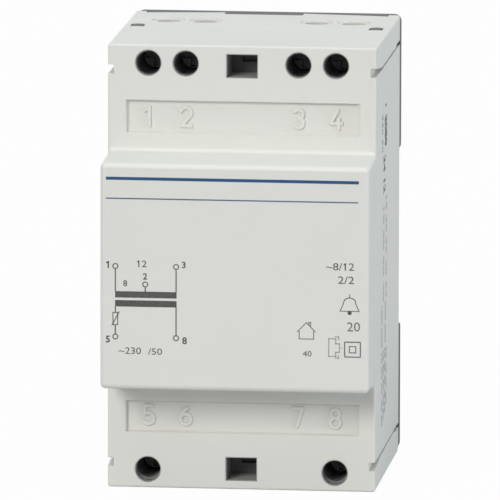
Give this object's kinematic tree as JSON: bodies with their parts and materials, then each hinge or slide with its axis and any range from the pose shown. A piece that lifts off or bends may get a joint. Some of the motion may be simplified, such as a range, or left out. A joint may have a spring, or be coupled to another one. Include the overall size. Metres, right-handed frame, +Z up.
{
  "type": "doorbell transformer",
  "caption": "Rail-mounted doorbell transformer with a raised middle block, recessed screw terminals, side grooves and a spring latch.",
  "frame": {"origin": "middle of the foot, below the middle of the whole part", "axes": "front towards -Y, rail side towards +Y, +Z up, +X to the right seen from the front"},
  "size_m": [0.054, 0.0642, 0.09],
  "materials": {
    "light_housing": "fine moulded grain, light grey",
    "dark_base": "fine moulded grain, dark grey",
    "block_plastic": "smooth moulded, near black",
    "former_plastic": "smooth moulded, cream",
    "coil_tape": "thin polyester tape, amber",
    "thermistor_body": "dipped coating, blue",
    "lead_sleeve": "insulated lead, red",
    "enamelled_copper": "enamelled wire",
    "tinned_pin": "tinned",
    "contact_brass": "stamped, bright",
    "core_iron": "varnished laminations",
    "screw_steel": "zinc plated",
    "cage_steel": "zinc plated",
    "spring_steel": "drawn wire"
  },
  "bodies": {
    "case": {"front_housing": "light_housing", "rear_base": "dark_base", "latch_spring": "spring_steel", "core_e_stack": "core_iron", "core_i_stack": "core_iron", "coil_bobbin": "former_plastic", "bobbin_pins": "tinned_pin", "primary_winding": "enamelled_copper", "secondary_winding": "enamelled_copper", "primary_tape": "coil_tape", "secondary_tape": "coil_tape", "upper_terminal_block": "block_plastic", "lower_terminal_block": "block_plastic", "thermistor": "thermistor_body", "lead_5_pin_side": "lead_sleeve", "lead_5_bar_side": "lead_sleeve", "lead_1": "lead_sleeve", "lead_2": "lead_sleeve", "lead_3": "lead_sleeve", "lead_8": "lead_sleeve", "contact_bar_1": "contact_brass", "contact_bar_2": "contact_brass", "contact_bar_3": "contact_brass", "contact_bar_4": "contact_brass", "contact_bar_5": "contact_brass", "contact_bar_8": "contact_brass"},
    "latch": {"rail_latch": "dark_base"},
    "screw_1": {"terminal_screw_1": "screw_steel"},
    "cage_1": {"terminal_cage_1": "cage_steel"},
    "screw_2": {"terminal_screw_2": "screw_steel"},
    "cage_2": {"terminal_cage_2": "cage_steel"},
    "screw_3": {"terminal_screw_3": "screw_steel"},
    "cage_3": {"terminal_cage_3": "cage_steel"},
    "screw_4": {"terminal_screw_4": "screw_steel"},
    "cage_4": {"terminal_cage_4": "cage_steel"},
    "screw_5": {"terminal_screw_5": "screw_steel"},
    "cage_5": {"terminal_cage_5": "cage_steel"},
    "screw_8": {"terminal_screw_8": "screw_steel"},
    "cage_8": {"terminal_cage_8": "cage_steel"}
  },
  "joints": [
    {"name": "latch_slide", "type": "slide", "parent": "case", "child": "latch", "axis": [0, 0, -1], "range_m": [0, 0.003], "stiffness_N_per_m": 800, "springref_m": -0.003, "deforming": ["latch_spring"]},
    {"name": "screw_1_turn", "type": "hinge", "parent": "case", "child": "screw_1", "pos_m": [-0.01887, 0, 0.08585], "axis": [0, 1, 0], "range_deg": [0, 2880]},
    {"name": "cage_1_rise", "type": "slide", "parent": "case", "child": "cage_1", "axis": [0, -1, 0], "range_m": [0, 0.004]},
    {"name": "screw_2_turn", "type": "hinge", "parent": "case", "child": "screw_2", "pos_m": [-0.01132, 0, 0.08585], "axis": [0, 1, 0], "range_deg": [0, 2880]},
    {"name": "cage_2_rise", "type": "slide", "parent": "case", "child": "cage_2", "axis": [0, -1, 0], "range_m": [0, 0.004]},
    {"name": "screw_3_turn", "type": "hinge", "parent": "case", "child": "screw_3", "pos_m": [0.01132, 0, 0.08585], "axis": [0, 1, 0], "range_deg": [0, 2880]},
    {"name": "cage_3_rise", "type": "slide", "parent": "case", "child": "cage_3", "axis": [0, -1, 0], "range_m": [0, 0.004]},
    {"name": "screw_4_turn", "type": "hinge", "parent": "case", "child": "screw_4", "pos_m": [0.01887, 0, 0.08585], "axis": [0, 1, 0], "range_deg": [0, 2880]},
    {"name": "cage_4_rise", "type": "slide", "parent": "case", "child": "cage_4", "axis": [0, -1, 0], "range_m": [0, 0.004]},
    {"name": "screw_5_turn", "type": "hinge", "parent": "case", "child": "screw_5", "pos_m": [-0.01887, 0, 0.00415], "axis": [0, 1, 0], "range_deg": [0, 2880]},
    {"name": "cage_5_rise", "type": "slide", "parent": "case", "child": "cage_5", "axis": [0, -1, 0], "range_m": [0, 0.004]},
    {"name": "screw_8_turn", "type": "hinge", "parent": "case", "child": "screw_8", "pos_m": [0.01887, 0, 0.00415], "axis": [0, 1, 0], "range_deg": [0, 2880]},
    {"name": "cage_8_rise", "type": "slide", "parent": "case", "child": "cage_8", "axis": [0, -1, 0], "range_m": [0, 0.004]}
  ],
  "couplings": [
    {"joint": "screw_1_turn", "follows": "cage_1_rise", "rad_per_m": 12566},
    {"joint": "screw_2_turn", "follows": "cage_2_rise", "rad_per_m": 12566},
    {"joint": "screw_3_turn", "follows": "cage_3_rise", "rad_per_m": 12566},
    {"joint": "screw_4_turn", "follows": "cage_4_rise", "rad_per_m": 12566},
    {"joint": "screw_5_turn", "follows": "cage_5_rise", "rad_per_m": 12566},
    {"joint": "screw_8_turn", "follows": "cage_8_rise", "rad_per_m": 12566}
  ]
}
